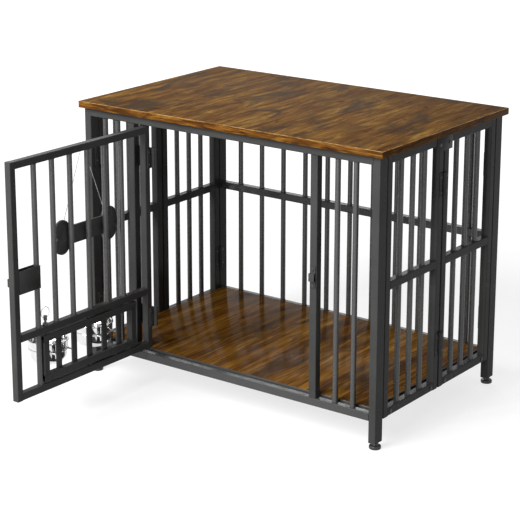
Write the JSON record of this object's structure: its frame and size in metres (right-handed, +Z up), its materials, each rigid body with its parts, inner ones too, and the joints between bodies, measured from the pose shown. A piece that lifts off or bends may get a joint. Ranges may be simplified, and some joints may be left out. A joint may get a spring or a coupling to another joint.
{
  "type": "dog crate end table",
  "caption": "Wood-topped dog crate end table with a barred steel frame, hinged folding side panels, a front door with slide latch, swivel bowl feeder and a hanging bone sign.",
  "frame": {"origin": "on the floor, under the middle of the four posts", "axes": "+X to the right seen from the front, +Y from the front to the back, +Z up; the door stands open towards -Y"},
  "size_m": [0.81, 0.9228, 0.645],
  "materials": {
    "steel": "black powder coat, satin",
    "wood_top": "rustic brown wood-grain laminate, satin",
    "wood_floor": "rustic brown wood-grain laminate, satin",
    "bowl_steel": "polished stainless steel",
    "bright_wire": "bright plated wire",
    "foot_rubber": "black moulded plastic",
    "sign_board": "matt black, bare",
    "twine": "thin pale string",
    "screw_steel": "black oxide"
  },
  "bodies": {
    "frame": {"door_hinge_frame_leaves": "steel", "door_hinge_pins": "steel", "floor_board": "wood_floor", "floor_ledges": "steel", "foot_plugs": "foot_rubber", "frame_screws": "screw_steel", "front_bottom_rail": "steel", "front_fixed_bars": "steel", "front_hinge_stile": "steel", "front_latch_stile": "steel", "front_left_post": "steel", "front_right_post": "steel", "front_top_rail": "steel", "latch_keeper": "steel", "left_front_panel_bars": "steel", "left_front_panel_frame": "steel", "left_rear_panel_bars": "steel", "left_rear_panel_frame": "steel", "panel_hinge_middle_leaves": "steel", "panel_hinge_outer_leaves": "steel", "panel_hinge_pins": "steel", "rear_bars": "steel", "rear_bottom_rail": "steel", "rear_left_post": "steel", "rear_middle_rail": "steel", "rear_right_post": "steel", "rear_top_rail": "steel", "right_front_panel_bars": "steel", "right_front_panel_frame": "steel", "right_rear_panel_bars": "steel", "right_rear_panel_frame": "steel", "seam_brackets": "steel", "table_top": "wood_top"},
    "door": {"door_hinge_stile": "steel", "door_latch_stile": "steel", "door_bottom_rail": "steel", "door_middle_rail": "steel", "door_top_rail": "steel", "door_bars": "steel", "door_hinge_door_leaves": "steel", "latch_plates": "steel", "latch_guides": "steel", "feeder_pivots": "steel", "lock_pin_sleeve": "screw_steel", "sign_hook": "steel"},
    "bolt": {"latch_bolt": "steel", "latch_knob": "steel"},
    "feeder": {"feeder_frame": "steel", "feeder_slats": "steel", "bowl_rings": "bright_wire"},
    "bowl_a": {"bowl_hinge_side": "bowl_steel"},
    "bowl_b": {"bowl_latch_side": "bowl_steel"},
    "lock_pin": {"lock_pin": "screw_steel"},
    "pull_ring": {"pull_ring": "bright_wire"},
    "sign": {"bone_sign": "sign_board", "sign_string": "twine"},
    "foot_front_left": {"front_left_foot": "foot_rubber"},
    "foot_front_right": {"front_right_foot": "foot_rubber"},
    "foot_rear_left": {"rear_left_foot": "foot_rubber"},
    "foot_rear_right": {"rear_right_foot": "foot_rubber"}
  },
  "joints": [
    {"name": "door_swing", "type": "hinge", "parent": "frame", "child": "door", "pos_m": [-0.212, -0.229, 0], "axis": [0, 0, -1], "range_deg": [-91, 5]},
    {"name": "bolt_slide", "type": "slide", "parent": "door", "child": "bolt", "axis": [-0.0175, -0.9998, 0], "range_m": [0, 0.015]},
    {"name": "feeder_turn", "type": "hinge", "parent": "door", "child": "feeder", "pos_m": [-0.22861, -0.43574, 0], "axis": [0, 0, 1], "range_deg": [0, 180]},
    {"name": "bowl_a_lift", "type": "slide", "parent": "feeder", "child": "bowl_a", "axis": [0, 0, 1], "range_m": [0, 0.06]},
    {"name": "bowl_b_lift", "type": "slide", "parent": "feeder", "child": "bowl_b", "axis": [0, 0, 1], "range_m": [0, 0.06]},
    {"name": "lock_pin_slide", "type": "slide", "parent": "door", "child": "lock_pin", "axis": [0, 0, 1], "range_m": [-0.006, 0]},
    {"name": "pull_ring_swing", "type": "hinge", "parent": "lock_pin", "child": "pull_ring", "pos_m": [-0.23093, -0.56872, 0.253], "axis": [-0.0175, -0.9998, 0], "range_deg": [-85, 85]},
    {"name": "sign_swing", "type": "hinge", "parent": "door", "child": "sign", "pos_m": [-0.24139, -0.42852, 0.59925], "axis": [0.0175, 0.9998, 0], "range_deg": [0, 45]},
    {"name": "front_left_foot_screw", "type": "slide", "parent": "frame", "child": "foot_front_left", "axis": [0, 0, -1], "range_m": [0, 0.008]},
    {"name": "front_right_foot_screw", "type": "slide", "parent": "frame", "child": "foot_front_right", "axis": [0, 0, -1], "range_m": [0, 0.008]},
    {"name": "rear_left_foot_screw", "type": "slide", "parent": "frame", "child": "foot_rear_left", "axis": [0, 0, -1], "range_m": [0, 0.008]},
    {"name": "rear_right_foot_screw", "type": "slide", "parent": "frame", "child": "foot_rear_right", "axis": [0, 0, -1], "range_m": [0, 0.008]}
  ]
}
